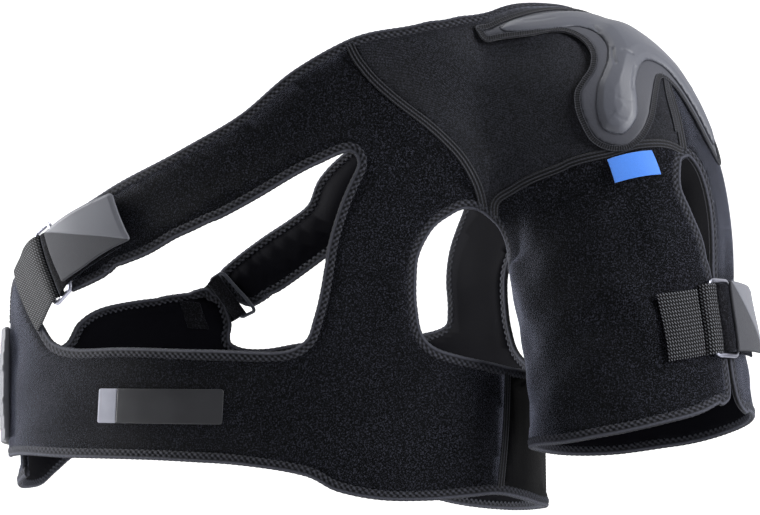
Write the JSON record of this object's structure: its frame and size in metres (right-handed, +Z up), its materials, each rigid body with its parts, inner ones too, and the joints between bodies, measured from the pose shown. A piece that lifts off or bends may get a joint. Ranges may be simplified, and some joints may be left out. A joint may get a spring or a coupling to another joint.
{
  "type": "shoulder brace",
  "caption": "Shoulder brace for one shoulder: chest strap and belt, padded shoulder cap, short arm sleeve with an adjustable strap",
  "frame": {"origin": "inside of the cloth on the ridge of the shoulder, where it sits on the wearer's shoulder", "axes": "+Z up, -Y to the wearer's front, +X to the arm in the sleeve"},
  "size_m": [0.5798, 0.2541, 0.3608],
  "materials": {
    "neoprene": "black neoprene with a plush loop face",
    "side_elastic": "smooth dark elastic cloth",
    "shoulder_knit": "fine diagonal knit over neoprene",
    "binding": "folded stretch tape, cross stitched",
    "webbing": "coarse grey elastic webbing",
    "hook_strap": "black hook and loop strap",
    "rubber": "matt grey moulded rubber",
    "ring_metal": "plated wire ring",
    "ring_dark": "dark painted wire ring",
    "pad_foam": "satin moulded impact foam",
    "pad_flange": "matt moulded flange",
    "tag_cloth": "woven blue tag, bare",
    "label_silver": "silver foil square, bare",
    "label_strip": "dark satin film, bare"
  },
  "bodies": {
    "root": {"front_panel": "neoprene", "back_panel": "neoprene", "sleeve_panel": "neoprene", "sleeve_flap": "neoprene", "side_panel": "side_elastic", "shoulder_panel": "shoulder_knit", "neck_binding": "binding", "front_opening_binding": "binding", "back_opening_binding": "binding", "armhole_binding": "binding", "belt_hem_binding": "binding", "sleeve_edge_binding": "binding", "front_strap_webbing": "webbing", "front_ring": "ring_metal", "front_strap_hook": "hook_strap", "front_strap_tab": "rubber", "arm_strap_webbing": "webbing", "arm_ring": "ring_metal", "arm_strap_hook": "hook_strap", "arm_strap_tab": "rubber", "back_webbing_patch": "hook_strap", "back_webbing": "hook_strap", "back_ring": "ring_dark", "belt_pull_tab": "rubber", "belt_label_plate": "label_silver", "belt_label_strip": "label_strip", "seam_tag": "tag_cloth", "shoulder_pad_flange": "pad_flange", "shoulder_pad": "pad_foam"}
  },
  "joints": []
}
